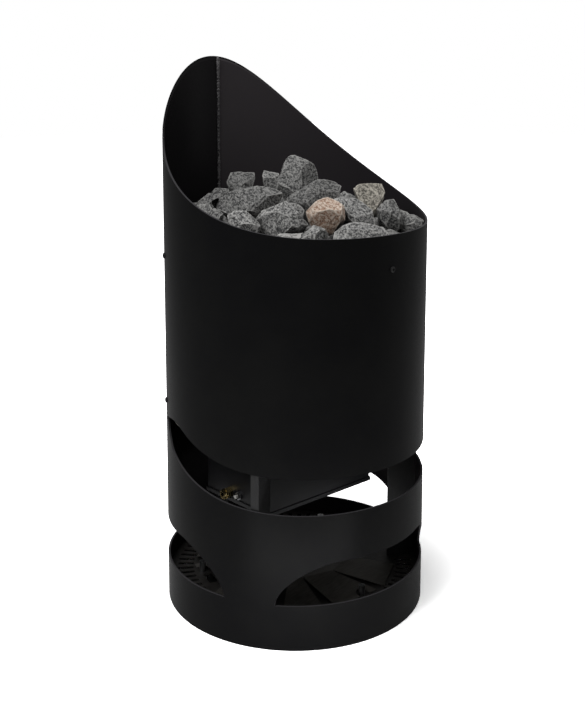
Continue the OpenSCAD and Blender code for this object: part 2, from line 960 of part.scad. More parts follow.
far = 10 * casing_d;
function halfway(c, d, s) = let (v = s - c, p = v * d) p > 0 ? v * v / (2 * p) : far;
function to_plane(c, d, low, high) = d > 0 ? (high - c) / d : d < 0 ? (low - c) / d : far;
function to_wall(c, d, r) =
    let (a = d[0] * d[0] + d[1] * d[1], b = c[0] * d[0] + c[1] * d[1],
        q = c[0] * c[0] + c[1] * c[1] - r * r)
    a > 0 ? (sqrt(max(b * b - a * q, 0)) - b) / a : far;
function cell_reach(c, d, sites, low, high, r) = min(concat(
    [for (s = sites) if (s != c) halfway(c, d, s)],
    [for (k = [0:2]) to_plane(c[k], d[k], low[k], high[k])],
    [to_wall(c, d, r)]));

rock_directions = 20;
golden_turn = 137.5;
half_turn = 180;
function spiral(i, n, turn) = let (z = 1 - (2 * i + 1) / n, s = sqrt(1 - z * z), a = golden_turn * i + turn)
    [s * cos(a), s * sin(a), z];

// Points of one stone: its touching points towards its neighbours, the floor and the wall,
// and a spiral of others that stay a little inside the cell
function cell_points(c, sites, low, high, r, seed) =
    let (n = noise(seed, rock_directions + 1), g = stone_gap / 2,
        out = norm([c[0], c[1]]) > 0 ? [c[0], c[1], 0] / norm([c[0], c[1]]) : [1, 0, 0],
        touch = concat([for (s = sites) if (s != c) (s - c) / norm(s - c)],
            [out, [0, 0, -1], [0, 1, 0], [0, -1, 0]]))
    concat(
        [for (d = touch) let (t = cell_reach(c, d, sites, low, high, r)) if (t < stone_d) c + d * (t - g)],
        [for (i = [0:rock_directions - 1])
            let (d = spiral(i, rock_directions, half_turn * n[rock_directions]),
            t = cell_reach(c, d, sites, low, high, r))
            c + d * (min(t, 0.8 * stone_d) * (0.88 + 0.08 * n[i]) - g)]);

// The bed: rows of stones along X, between and beside the planes of the elements
wall_gap = 1;
bed_r = liner_r - liner_t - wall_gap;
bed_low = grate_z + stone_gap;
bed_layers = 3;
layer_h = (liner_top - bed_low) / bed_layers;
rod_room = rod_d / 2 + min_wall;
front_room = element_ys[0] - rod_room;
back_room = element_ys[2] + rod_room;
bed_rows = [[-bed_r, (front_room - bed_r) / 2], [(front_room - bed_r) / 2, front_room],
    [element_ys[0] + rod_room, element_ys[1] - rod_room],
    [element_ys[1] + rod_room, element_ys[2] - rod_room],
    [back_room, (back_room + bed_r) / 2], [(back_room + bed_r) / 2, bed_r]];
bed_columns = 3;
stone_spread = 5;
stone_jitter = 8;
stone_pitch = stone_d + stone_spread;

function bed_site(j, k, i) =
    let (row = bed_rows[j], n = noise(31 * j + 7 * k + 101 * (i + bed_columns), 3),
        shift = (j + k) % 2 == 0 ? 0 : stone_pitch / 2)
    [i * stone_pitch + shift + stone_jitter * n[0],
        (row[0] + row[1]) / 2 + 0.08 * (row[1] - row[0]) * n[1],
        bed_low + (k + 0.5 + 0.16 * n[2]) * layer_h];
function fits(s, row) = norm([max(abs(s[0]) - stone_d / 4, 0), s[1]]) < bed_r - (row[1] - row[0]) * 0.3;
function row_sites(j) = [for (k = [0:bed_layers - 1]) for (i = [-bed_columns:bed_columns])
    let (s = bed_site(j, k, i)) if (fits(s, bed_rows[j])) s];

module bed_layer(k) {
    for (j = [0:len(bed_rows) - 1]) {
        sites = row_sites(j);
        for (i = [-bed_columns:bed_columns]) {
            s = bed_site(j, k, i);
            if (fits(s, bed_rows[j]))
                rock(cell_points(s, sites, [-far, bed_rows[j][0], bed_low],
                    [far, bed_rows[j][1], liner_top], bed_r, 100 * k + 10 * j + i + 7));
        }
    }
}

module stone_bed_lower() color("#6a6a68") bed_layer(0);
module stone_bed_middle() color("#6a6a68") bed_layer(1);
module stone_bed_upper() color("#6a6a68") bed_layer(2);

// Visible stones, each with its place in shares of the casing's radius, its height over
// the chamber wall, its depth and its outline in shares of a nominal stone. The outlines
// stand upright and face the front-left corner.
facing = -42.5;
front_shares = [
    [[-0.46, -0.66, 0.57], 0.75,
        [[-0.36, -0.12], [0.05, 0.22], [0.27, 0.17], [0.35, 0.05], [0.3, -0.4], [-0.2, -0.45]]],
    [[-0.08, -0.77, 0.51], 0.8,
        [[-0.67, -0.05], [-0.5, 0.14], [-0.28, 0.25], [0.1, 0.27], [0.67, 0.14], [0.55, -0.3],
        [-0.3, -0.4]]],
    [[-0.75, -0.28, 0.71], 0.75,
        [[-0.36, 0.22], [-0.19, 0.33], [0.04, 0.33], [0.36, 0.02], [0.3, -0.3], [-0.2, -0.35]]],
    [[-0.83, -0.05, 0.83], 0.45,
        [[-0.22, 0.12], [0.02, 0.22], [0.22, 0.1], [0.15, -0.25], [-0.12, -0.25]]],
    [[-0.82, 0.09, 0.91], 0.45,
        [[-0.2, 0.12], [0.08, 0.22], [0.2, 0.1], [0.1, -0.25], [-0.15, -0.22]]],
    [[0.56, -0.69, 0.49], 0.8,
        [[-0.3, 0.25], [0.02, 0.25], [0.24, 0.12], [0.24, -0.12], [0, -0.35], [-0.3, -0.3]]]
];
middle_shares = [
    [[-0.49, -0.38, 0.80], 0.8,
        [[-0.58, -0.05], [-0.38, 0.2], [0.1, 0.42], [0.22, 0.34], [0.58, -0.1], [0.4, -0.4],
        [0.05, -0.5], [-0.45, -0.35]]],
    [[-0.46, 0.01, 1.09], 0.85,
        [[-0.8, -0.08], [-0.62, 0.1], [-0.26, 0.23], [0.2, 0.3], [0.66, 0.27], [0.8, 0.12],
        [0.74, -0.05], [0.4, -0.25], [0, -0.36], [-0.6, -0.28]]],
    [[0.12, -0.52, 0.86], 0.85,
        [[-0.48, 0.28], [-0.1, 0.33], [0.14, 0.26], [0.45, 0.02], [0.48, -0.35], [0.1, -0.42],
        [-0.2, -0.3], [-0.42, -0.05]]],
    [[0.07, -0.15, 1.17], 0.9,
        [[-0.72, -0.16], [-0.44, -0.02], [-0.06, 0.14], [0.12, 0.34], [0.7, 0.24], [0.72, 0.14],
        [0.5, -0.12], [0.2, -0.3], [-0.34, -0.36]]],
    [[0.39, -0.62, 0.77], 0.6,
        [[-0.3, 0.08], [-0.08, 0.34], [0.08, 0.4], [0.16, 0.28], [0.32, -0.3], [0.1, -0.48],
        [-0.28, -0.2]]],
    [[-0.66, 0.24, 1.03], 0.6,
        [[-0.3, -0.05], [0.02, 0.2], [0.24, 0.2], [0.28, 0.05], [0.2, -0.25], [-0.22, -0.28]]]
];
back_shares = [
    [[-0.12, 0.50, 1.23], 0.7,
        [[-0.32, 0.28], [-0.36, 0.14], [-0.24, -0.1], [-0.08, -0.4], [0.14, -0.4], [0.34, 0.1],
        [0.3, 0.26], [0.18, 0.34], [-0.05, 0.3]]],
    [[0.19, 0.50, 1.26], 0.55, [[-0.22, 0.25], [-0.16, -0.3], [0.2, -0.3], [0.22, 0.25]]],
    [[-0.11, 0.76, 0.89], 0.6,
        [[-0.3, 0], [-0.15, 0.2], [0.2, 0.18], [0.3, 0.02], [0.1, -0.3], [-0.25, -0.3]]],
    [[0.08, 0.68, 0.97], 0.5, [[-0.2, 0.12], [0.15, 0.12], [0.2, -0.2], [-0.18, -0.25]]],
    [[0.45, -0.13, 0.91], 0.6,
        [[-0.3, 0.1], [-0.1, 0.2], [0.24, 0.02], [0.28, -0.2], [-0.1, -0.35], [-0.3, -0.2]]],
    [[-0.34, -0.02, 0.80], 0.5,
        [[-0.32, 0.02], [0, 0.2], [0.34, 0.22], [0.3, -0.1], [-0.1, -0.3], [-0.34, -0.2]]],
    [[-0.22, -0.24, 0.86], 0.45,
        [[-0.22, 0.2], [0.02, 0.22], [0.2, 0.02], [0.16, -0.3], [-0.15, -0.25]]]
];
large_shares = [
    [[0.19, 0.16, 1.46], 0.85,
        [[-0.34, 0.46], [-0.48, 0.3], [-0.52, -0.28], [-0.1, -0.48], [0.44, -0.24], [0.54, -0.08],
        [0.42, 0.24], [0.2, 0.38], [-0.18, 0.48]]]
];
tan_shares = [
    [[-0.16, -0.49, 0.89], 0.7,
        [[-0.42, 0], [-0.25, 0.23], [0.02, 0.34], [0.26, 0.28], [0.41, 0.12], [0.41, -0.16],
        [0.25, -0.32], [-0.02, -0.38], [-0.34, -0.22]]]
];
light_shares = [
    [[0.49, -0.31, 1.03], 0.6,
        [[-0.38, 0.16], [-0.25, 0.29], [0.35, 0.3], [0.38, 0.08], [0.22, -0.24], [0.1, -0.36],
        [-0.08, -0.24]]]
];

function heap_centre(s) = [s[0][0] * casing_r, s[0][1] * casing_r, liner_top + s[0][2] * stone_d];
function heap_points(s, seed) =
    let (c = heap_centre(s), d = s[1] * stone_d, o = s[2], m = len(o), n = noise(seed, 5 * m))
    concat(
        [for (i = [0:m - 1]) [c, o[i] * stone_d, d * 0.14 * n[i]]],
        [for (i = [0:m - 1])
            [c, o[i] * stone_d * (0.58 + 0.16 * n[i + m]), -d * (0.42 + 0.08 * n[i + 2 * m])]],
        [for (i = [0:m - 1])
            [c, o[i] * stone_d * (0.62 + 0.16 * n[i + 3 * m]), d * (0.42 + 0.08 * n[i + 4 * m])]]);
function stand(p) = let (c = p[0], u = p[1][0], v = p[1][1], w = p[2])
    [c[0] + u * cos(facing) - w * sin(facing), c[1] + u * sin(facing) + w * cos(facing), c[2] + v];
// The foot of a stone, which reaches down between the stones below and rests on them
root_share = 0.1;
function root_points(s) =
    let (c = heap_centre(s), z = (cap_low + cap_top(c[1])) / 2, r = stone_d * root_share)
    [for (a = [0:120:240]) [c[0] + r * cos(a), c[1] + r * sin(a), z]];
function heap_rock(s, seed) = concat([for (p = heap_points(s, seed)) stand(p)], root_points(s));

// Order of precedence: a stone is cut by every earlier one that is near it
heap_shares = concat(tan_shares, light_shares, front_shares, middle_shares, large_shares, back_shares);
tan_first = 0;
light_first = len(tan_shares);
front_first = light_first + len(light_shares);
middle_first = front_first + len(front_shares);
large_first = middle_first + len(middle_shares);
back_first = large_first + len(large_shares);
heap_count = len(heap_shares);

module heap_solid(i) {
    rock(heap_rock(heap_shares[i], 900 + i));
}

// A stone swollen by about one gap, to cut its neighbours back
module heap_swollen(i) {
    c = heap_centre(heap_shares[i]);
    k = 1 + 3 * stone_gap / stone_d;
    translate(c) scale(k) translate(-c) heap_solid(i);
}

function near(a, b) = norm(heap_centre(a) - heap_centre(b)) < 1.5 * stone_d;

module heap_stone(i) {
    difference() {
        intersection() {
            heap_solid(i);
            rod(inner_r - skin_gap, liner_top, back_h);
        }
        for (j = [0:1:i - 1])
            if (near(heap_shares[i], heap_shares[j])) heap_swollen(j);
    }
}

module heap_group(first, count) {
    for (i = [first:first + count - 1]) heap_stone(i);
}

module stones_front() color("#6f6f6d") heap_group(front_first, len(front_shares));
module stones_middle() color("#757573") heap_group(middle_first, len(middle_shares));
module stones_back() color("#6c6c6a") heap_group(back_first, len(back_shares));
module stone_large() color("#7a7a78") heap_group(large_first, len(large_shares));
module stone_tan() color("#c9a58c") heap_group(tan_first, len(tan_shares));
module stone_light() color("#8d8a84") heap_group(light_first, len(light_shares));

// The cap: stones between the bed and the heap, placed like the seeds of a sunflower
cap_count = 21;
cap_turn = 20;
cap_r = inner_r - bead_d / 2 - skin_gap;
cap_front = 23;
cap_rise = 38;
cap_low = liner_top + stone_gap;
function cap_top(y) = cap_low + cap_front + cap_rise * sqrt(max(1 + y / casing_r, 0) / 2);
function cap_site(i) =
    let (r = cap_r * sqrt((i + 0.5) / cap_count), a = golden_turn * i + cap_turn, y = r * sin(a))
    [r * cos(a), y, (cap_low + cap_top(y)) / 2];
cap_sites = [for (i = [0:cap_count - 1]) cap_site(i)];

// A point on the chamber wall's edge below an outer stone, where the stone rests
function edge_points(c, sites, high) =
    let (flat = [c[0], c[1], 0], p = flat / norm(flat) * (liner_r - liner_t / 2) + [0, 0, cap_low],
        v = p - c, floor = cap_low - stone_gap,
        t = cell_reach(c, v / norm(v), sites, [-far, -far, floor], [far, far, high], cap_r))
    norm(v) < t ? [p - [0, 0, stone_gap / 2]] : [];

module cap_stone(i) {
    c = cap_sites[i];
    high = cap_top(c[1]) + stone_jitter * noise(60 + i, 1)[0] / 2;
    low = cap_low - stone_gap;
    rock(concat(cell_points(c, cap_sites, [-far, -far, low], [far, far, high], cap_r, 300 + i),
        edge_points(c, cap_sites, high)));
}

module stone_cap() {
    color("#6a6a68")
        for (i = [0:cap_count - 1])
            difference() {
                cap_stone(i);
                for (j = [0:heap_count - 1])
                    if (norm(cap_sites[i] - heap_centre(heap_shares[j])) < 2 * stone_d) heap_swollen(j);
            }
}

outer_casing();
upper_casing_screws();
lower_casing_screws();
spacer_nuts();
base_clips();
base_plate();
heat_deflector();
leg_left();
leg_right();
leg_back();
leg_foot_screws();
leg_top_screws();
foot_nuts();
foot_pad_front();
foot_spindle_front();
foot_pad_left();
foot_spindle_left();
foot_pad_right();
foot_spindle_right();
stone_grate();
stone_chamber();
element_front();
element_middle();
element_rear();
element_nuts();
hanger_studs();
hanger_nuts();
heat_shield();
box_body();
box_cover();
cover_screws();
element_bushings();
terminal_nuts();
element_leads();
terminal_block();
terminal_block_screws();
earth_stud();
earth_nuts();
cable_gland();
gland_locknut();
gland_dome_nut();
gland_seal();
thermal_cutout();
cutout_nut();
reset_button();
stone_bed_lower();
stone_bed_middle();
stone_bed_upper();
stone_cap();
stones_front();
stones_middle();
stones_back();
stone_large();
stone_tan();
stone_light();
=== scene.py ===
# %% [markdown]
# A round electric sauna heater, dressed over its CAD frame. The real object is a rolled
# steel tube with a slanting rim, cut open by a laser near the floor, with a basket of split
# stones inside.

# %% Load the frame
import json
import math
import random

import bmesh
import bpy
import numpy as np
from mathutils import Matrix, Vector, noise


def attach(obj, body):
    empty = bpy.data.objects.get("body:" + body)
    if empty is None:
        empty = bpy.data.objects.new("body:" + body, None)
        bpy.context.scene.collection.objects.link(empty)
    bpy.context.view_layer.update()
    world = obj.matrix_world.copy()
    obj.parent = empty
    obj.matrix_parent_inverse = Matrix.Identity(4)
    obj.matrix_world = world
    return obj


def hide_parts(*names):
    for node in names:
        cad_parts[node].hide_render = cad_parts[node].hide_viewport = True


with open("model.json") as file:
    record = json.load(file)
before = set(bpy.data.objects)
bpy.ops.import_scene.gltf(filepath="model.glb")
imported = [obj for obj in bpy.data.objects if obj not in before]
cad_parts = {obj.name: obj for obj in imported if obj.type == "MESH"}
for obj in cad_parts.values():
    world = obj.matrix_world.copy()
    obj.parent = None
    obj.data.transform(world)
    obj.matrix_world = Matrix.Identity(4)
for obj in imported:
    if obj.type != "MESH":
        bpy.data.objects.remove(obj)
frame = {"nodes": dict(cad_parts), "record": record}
nodes = frame["nodes"]
scene = bpy.context.scene
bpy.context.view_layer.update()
MM = 0.001

# %% [markdown]
# Colours are written as they look on a screen, in hex. Blender's shaders want linear light,
# so one function turns the one into the other. A second small function adds a node, sets its
# values and wires its inputs in one line, which keeps the material cells short.

# %% Colour and node helpers
def tone(code):
    """A screen colour such as "808080" as linear light."""
    parts = [int(code[i:i + 2], 16) / 255 for i in (0, 2, 4)]
    linear = [c / 12.92 if c <= 0.04045 else ((c + 0.055) / 1.055) ** 2.4 for c in parts]
    return (*linear, 1.0)


def add(tree, kind, inputs=None, **settings):
    """Adds a node. inputs maps a socket's name or index to a value, an output or a node."""
    made = tree.nodes.new(kind)
    for name, value in settings.items():
        setattr(made, name, value)
    for name, value in (inputs or {}).items():
        if isinstance(value, bpy.types.Node):
            value = value.outputs[0]
        if isinstance(value, bpy.types.NodeSocket):
            tree.links.new(value, made.inputs[name])
        else:
            made.inputs[name].default_value = value
    return made


def new_finish(name):
    """An empty material and its tree."""
    made = bpy.data.materials.new(name)
    made.use_nodes = True
    made.node_tree.nodes.clear()
    return made, made.node_tree


print("a mid grey in linear light:", round(tone("808080")[0], 3))

# %% [markdown]
# Nearly every finish needs blotches of some real size: the uneven film of a coat, rolling
# streaks, dust. One noise in the object's own coordinates does it. Its scale is worked out
# from the size in metres of one blotch, and a stretch turns blotches into streaks. A noise
# seldom leaves the span from 0.3 to 0.7, so most maps below start from it. The heater is
# round, so some finishes change with the distance from its axis.

# %% Blotches of a real size
def grain(tree, size, detail=3.0, rough=0.5, stretch=(1, 1, 1), offset=(0, 0, 0), twist=0.0):
    place = add(tree, "ShaderNodeTexCoord").outputs["Object"]
    moved = add(tree, "ShaderNodeMapping", {"Vector": place, "Location": offset, "Scale": stretch})
    return add(tree, "ShaderNodeTexNoise", {"Vector": moved, "Scale": 1 / size, "Detail": detail,
                                            "Roughness": rough, "Distortion": twist})


def from_axis(tree, place):
    """The place without its height, and how far that is from the heater's axis."""
    flat = add(tree, "ShaderNodeVectorMath", {0: place, 1: (1, 1, 0)}, operation="MULTIPLY")
    radius = add(tree, "ShaderNodeVectorMath", {0: flat}, operation="LENGTH")
    return flat, radius.outputs["Value"]


noise_span = {1: 0.3, 2: 0.7}
print("a 1 mm blotch needs the scale", 1 / (1 * MM))

# %% [markdown]
# The casing's matt black powder coat is a plastic film baked on to the steel: epoxy and
# polyester sprayed as dust, with a fine orange peel from the melting. To the eye it is almost
# without gloss seen straight on, and only a narrow line at the edges lightens, where the light
# grazes it. A noise makes the peel, drawn 1.6 mm wide so that it shows, and a wide faint one
# the uneven film. The IOR is that of the polyester, held back by a low specular level because
# the filler breaks up the gloss. Inside the tube the colour is painted light and shade: lighter
# at the weld seam and fading away to its right as painted light, and darker left of the seam as
# painted shade. So the colour changes at the radius in the middle of the sheet, and again at
# the seam. The laser's cut edges get a painted highlight, paler than the faces.

# %% Powder coat
def powder_coat(name, dark, light, rough, peel, specular, inner_light_and_shade=None):
    """A baked coat. The last argument, if given, paints light and shade on the inner face: the lit
    tone at the seam, the tone far right, and the shaded tone left of it.
    """
    made, tree = new_finish(name)
    cloud = grain(tree, film_blotch, 3, 0.55, offset=(3, 1, 2))
    film = add(tree, "ShaderNodeMapRange", {0: cloud, **noise_span})
    skin = grain(tree, peel_width, 2, 0.6)
    colour = add(tree, "ShaderNodeMix", {0: film, 6: tone(dark), 7: tone(light)},
                 data_type="RGBA").outputs[2]
    # Painted light and shade on the inner face, and a painted highlight on the laser's cut edges
    if inner_light_and_shade:
        place = add(tree, "ShaderNodeTexCoord").outputs["Object"]
        flat, radius = from_axis(tree, place)
        inside = add(tree, "ShaderNodeMapRange", {
            0: radius, 1: casing_r - 1 * MM, 2: casing_r - 2 * MM})
        x = add(tree, "ShaderNodeSeparateXYZ", {0: place}).outputs["X"]
        left = add(tree, "ShaderNodeMapRange", {0: x, 1: seam_x + 1 * MM, 2: seam_x - 1 * MM})
        away = add(tree, "ShaderNodeMapRange", {0: x, 1: seam_x, 2: casing_r})
        # Painted light: lighter at the seam, fading to the right; painted shade left of the seam
        grey = add(tree, "ShaderNodeMix", {0: away, 6: tone(inner_light_and_shade[0]), 7: tone(inner_light_and_shade[1])},
                   data_type="RGBA").outputs[2]
        grey = add(tree, "ShaderNodeMix", {0: left, 6: grey, 7: tone(inner_light_and_shade[2])},
                   data_type="RGBA").outputs[2]
        colour = add(tree, "ShaderNodeMix", {0: inside, 6: colour, 7: grey},
                     data_type="RGBA").outputs[2]
        # The laser's cut edges, whose normal has no part that points away from the axis, get a
        # painted highlight
        outward = add(tree, "ShaderNodeVectorMath", {0: flat}, operation="NORMALIZE")
        surface = add(tree, "ShaderNodeNewGeometry").outputs["True Normal"]
        upright = add(tree, "ShaderNodeVectorMath", {0: surface, 1: outward},
                      operation="DOT_PRODUCT").outputs["Value"]
        upright = add(tree, "ShaderNodeMath", {0: upright}, operation="ABSOLUTE")
        cut = add(tree, "ShaderNodeMapRange", {0: upright, 1: 0.5, 2: 0.3})
        colour = add(tree, "ShaderNodeMix", {0: cut, 6: colour, 7: tone("39383a")},
                     data_type="RGBA").outputs[2]
    gloss = add(tree, "ShaderNodeMapRange", {
        0: skin, **noise_span, 3: rough - 0.05, 4: rough + 0.07})
    normal = add(tree, "ShaderNodeBump", {"Height": skin, "Distance": peel})
    shader = add(tree, "ShaderNodeBsdfPrincipled", {
        "Base Color": colour, "Roughness": gloss, "Normal": normal, "IOR": polyester_ior,
        "Specular IOR Level": specular})
    add(tree, "ShaderNodeOutputMaterial", {0: shader})
    return made


film_blotch = 90 * MM
peel_width = 1.6 * MM
polyester_ior = 1.5
casing_r = 200 * MM
seam_turn = math.radians(177.6)
seam_x = casing_r * math.sin(seam_turn)
# The casing's inner face gets painted light at the weld seam and painted shade left of it
casing_coat = powder_coat("matt_black_powder_coat", "0d0d0e", "111111", 0.36, 0.03 * MM, 0.035,
                          inner_light_and_shade=("363335", "201e20", "151415"))
weld_coat = powder_coat("thin_coat_over_weld_drops", "323132", "4c4a4b", 0.34, 0.04 * MM, 0.3)
inner_coat = powder_coat("dull_black_coat_on_brackets", "161617", "1e1e1e", 0.55, 0.05 * MM, 0.22)
box_coat = powder_coat("dark_grey_coat_on_box", "1a1a1c", "222224", 0.42, 0.04 * MM, 0.3)
print("coats:", casing_coat.name, inner_coat.name, box_coat.name)

# %% [markdown]
# Bare sheet metal under the stones is never clean: rolling leaves long faint streaks, and
# heat and dust leave cloudy brown patches of oxide. The streaks come from a noise that is
# stretched along one axis, the patches from a wide one, and both also change the roughness.
# Oxide and zinc's own dull film make the base plate only partly metallic to the eye, and under
# the deflector the plate is painted near black: painted shade where the deflector keeps light off.

# %% Bare and plated metals
def worn_metal(name, dark, light, stain, rough, streak=(1, 30, 30), stain_share=0.5,
               scratch=0.02 * MM, metallic=1.0, painted_shade_r=None):
    """Sheet or bar with streaks and stains, and painted shade, near black, within a given radius of
    the axis.
    """
    made, tree = new_finish(name)
    lines = grain(tree, streak_len, 4, 0.6, stretch=streak)
    cloud = grain(tree, stain_width, 4, 0.6, offset=(1, 5, 2), twist=0.6)
    line_share = add(tree, "ShaderNodeMapRange", {0: lines, **noise_span})
    colour = add(tree, "ShaderNodeMix", {0: line_share, 6: tone(dark), 7: tone(light)},
                 data_type="RGBA").outputs[2]
    dirt = add(tree, "ShaderNodeMapRange", {0: cloud, 1: 0.42, 2: 0.70, 3: 0.0, 4: stain_share})
    colour = add(tree, "ShaderNodeMix", {0: dirt, 6: colour, 7: tone(stain)},
                 data_type="RGBA").outputs[2]
    # Painted shade: near black close to the axis, under the deflector
    if painted_shade_r:
        place = add(tree, "ShaderNodeTexCoord").outputs["Object"]
        radius = from_axis(tree, place)[1]
        painted_shade = add(tree, "ShaderNodeMapRange", {0: radius, 1: painted_shade_r, 2: painted_shade_r - 10 * MM, 4: 0.85})
        colour = add(tree, "ShaderNodeMix", {0: painted_shade, 6: colour, 7: tone("0b0a0a")},
                     data_type="RGBA").outputs[2]
    gloss = add(tree, "ShaderNodeMapRange", {
        0: lines, **noise_span, 3: rough - 0.06, 4: rough + 0.08})
    dull = add(tree, "ShaderNodeMath", {0: gloss, 1: dirt}, operation="MAXIMUM")
    normal = add(tree, "ShaderNodeBump", {"Height": lines, "Distance": scratch})
    shader = add(tree, "ShaderNodeBsdfPrincipled", {
        "Base Color": colour, "Metallic": metallic, "Roughness": dull, "Normal": normal})
    add(tree, "ShaderNodeOutputMaterial", {0: shader})
    return made


streak_len = 60 * MM
stain_width = 45 * MM
# The base plate gets painted shade under the deflector, within 140 mm of the axis
base_sheet = worn_metal("dusty_steel_base_plate", "1a1918", "2b2927", "181512", 0.5, (4, 9, 9), 0.7,
                        metallic=0.2, painted_shade_r=140 * MM)
deflector_sheet = worn_metal("heat_tinted_deflector_sheet", "484643", "605e5a", "37322b", 0.38,
                             (3, 25, 8), 0.4, metallic=0.7)
raw_sheet = worn_metal("heat_tinted_steel_sheet", "5b5a58", "77746e", "3f3327", 0.42)
zinc_plate = worn_metal("zinc_plated_steel", "85878a", "a3a5a8", "6c675b", 0.34, (6, 6, 6), 0.4)
brass_turned = worn_metal("turned_brass", "a8925f", "d2c290", "6d5a34", 0.26, (40, 1, 1), 0.4)
element_tube = worn_metal("heat_tinted_element_tube", "4a4440", "655c54", "3a2a20", 0.4)
nickel_lead = worn_metal("nickel_strand", "8f8b80", "aaa597", "5d5648", 0.38)
print("metals:", base_sheet.name, raw_sheet.name, zinc_plate.name, brass_turned.name)

# %% [markdown]
# The remaining small finishes are glazed steatite ceramic, moulded plastics and silicone
# rubber. Each has a faint mottle and a fine skin of its own, so none is one flat colour: the
# glaze is glassy and smooth, the plastics satin from the mould, the rubber nearly dull.

# %% Ceramic, plastic and rubber
def moulded(name, dark, light, rough, grain_size, depth, ior):
    """A smooth part from a mould: a faint mottle, and a skin with grains of a given size."""
    made, tree = new_finish(name)
    mottle = grain(tree, mottle_width, 3, 0.6)
    cloud = add(tree, "ShaderNodeMapRange", {0: mottle, 1: 0.35, 2: 0.65})
    skin = grain(tree, grain_size, 2, 0.6)
    colour = add(tree, "ShaderNodeMix", {0: cloud, 6: tone(dark), 7: tone(light)}, data_type="RGBA")
    gloss = add(tree, "ShaderNodeMapRange", {
        0: skin, **noise_span, 3: rough - 0.05, 4: rough + 0.06})
    normal = add(tree, "ShaderNodeBump", {"Height": skin, "Distance": depth})
    shader = add(tree, "ShaderNodeBsdfPrincipled", {
        "Base Color": colour.outputs[2], "Roughness": gloss, "Normal": normal, "IOR": ior})
    add(tree, "ShaderNodeOutputMaterial", {0: shader})
    return made


mottle_width = 9 * MM
ceramic_glaze = moulded("glazed_steatite", "cfc8b4", "e2dccb", 0.22, 0.8 * MM, 0.02 * MM, 1.52)
white_plastic = moulded("white_moulded_nylon", "dedcd4", "ecebe6", 0.35, 0.5 * MM, 0.01 * MM, 1.53)
dark_plastic = moulded("dark_glass_filled_nylon", "1d1c1b", "2a2827", 0.5, 0.6 * MM, 0.03 * MM,
                       1.53)
rubber = moulded("black_silicone_rubber", "141414", "1d1d1d", 0.75, 0.7 * MM, 0.03 * MM, 1.41)
print("small finishes:", ceramic_glaze.name, white_plastic.name, dark_plastic.name, rubber.name)

# %% [markdown]
# The stones are split olivine diabase: a grey rock of tightly locked crystals. From close up
# one sees pale feldspar laths and dark grains of 1 to 3 mm, and broken faces that differ in
# tone from stone to stone. The crystals are drawn 2.8 and 1.6 mm wide here, because finer ones
# would vanish between the picture's points. Noises give the clouds and the fresh breaks.
# Two attributes on the mesh help: one tone per stone, and how much a place sticks out, which
# gives a painted highlight on ridges and painted shade in creases. The colour also darkens
# within 16 mm of a neighbour, where little of the sky is seen: painted shade between stones.

# %% Rock
def rock(name, deep, middle, high, pale, dark):
    """Split stone. deep, middle and high are the clouds' tones, pale and dark the crystals', which
    also give the painted highlight on ridges and the painted shade in creases.
    """
    made, tree = new_finish(name)
    place = add(tree, "ShaderNodeTexCoord").outputs["Object"]
    big, tiny = [
        add(tree, "ShaderNodeRGBToBW", {0: add(tree, "ShaderNodeTexVoronoi", {
            "Vector": place, "Scale": 1 / width}).outputs["Color"]})
        for width in crystal_widths]
    cloud = grain(tree, 24 * MM, 5, 0.62, twist=0.8)
    fine = grain(tree, 3.0 * MM, 5, 0.7)
    tint = add(tree, "ShaderNodeAttribute", attribute_name="stone_tone").outputs["Fac"]
    # How far a place sticks out: a painted highlight on ridges, painted shade in creases
    edge = add(tree, "ShaderNodeAttribute", attribute_name="ridge_highlight_and_crease_shade").outputs["Fac"]
    # Painted shade between stones: darker where near neighbours hide the sky
    open_sky = add(tree, "ShaderNodeAmbientOcclusion", {"Distance": crevice_shade_reach},
                   samples=8).outputs["AO"]
    colour = tone(deep)
    # What a layer follows, where it starts, where it is full, its greatest share and its tone
    for share, low, high_end, most, wanted in (
            (cloud, 0.30, 0.52, 1.00, middle), (cloud, 0.50, 0.70, 1.00, high),
            (big, 0.56, 0.66, 0.55, pale), (big, 0.44, 0.34, 0.60, dark),
            (tiny, 0.58, 0.68, 0.60, pale), (tiny, 0.42, 0.32, 0.55, dark),
            # Painted highlight on ridges and painted shade in creases
            (edge, 0.58, 0.82, 0.80, pale), (edge, 0.38, 0.08, 0.80, dark),
            # Painted shade where neighbours come close
            (open_sky, 0.90, 0.42, 0.92, crevice_shade_tone)):
        part = add(tree, "ShaderNodeMapRange", {0: share, 1: low, 2: high_end, 3: 0.0, 4: most})
        colour = add(tree, "ShaderNodeMix", {0: part, 6: colour, 7: tone(wanted)},
                     data_type="RGBA").outputs[2]
    value = add(tree, "ShaderNodeMapRange", {0: tint, 3: 0.24, 4: 0.73})
    bright = add(tree, "ShaderNodeHueSaturation", {"Color": colour, "Value": value})
    gloss = add(tree, "ShaderNodeMapRange", {0: fine, **noise_span, 3: 0.68, 4: 0.92})
    broken = add(tree, "ShaderNodeBump", {"Height": cloud, "Distance": 1.0 * MM, "Strength": 0.5})
    normal = add(tree, "ShaderNodeBump", {"Height": fine, "Distance": 0.7 * MM, "Normal": broken})
    shader = add(tree, "ShaderNodeBsdfPrincipled", {
        "Base Color": bright, "Roughness": gloss, "Normal": normal, "IOR": 1.6,
        "Specular IOR Level": 0.3})
    add(tree, "ShaderNodeOutputMaterial", {0: shader})
    return made


crystal_widths = (2.8 * MM, 1.6 * MM)
# How far the painted shade between stones reaches, and its colour
crevice_shade_reach = 16 * MM
crevice_shade_tone = "100f0f"
grey_rock = rock("split_olivine_diabase", "555556", "6c6c6c", "858583", "c9c8c5", "262627")
tan_rock = rock("tan_granite", "b48f78", "caa993", "d9bfaa", "efe0d0", "86644e")
light_rock = rock("pale_diabase", "7d7972", "948f85", "a8a296", "d6d0c3", "48453f")
print("rocks:", grey_rock.name, tan_rock.name, light_rock.name)

# %% [markdown]
# Every CAD node has a material slot that names what it is made of. One table carries these
# slots over to the finishes above, so that no surface keeps its plain stand-in colour.

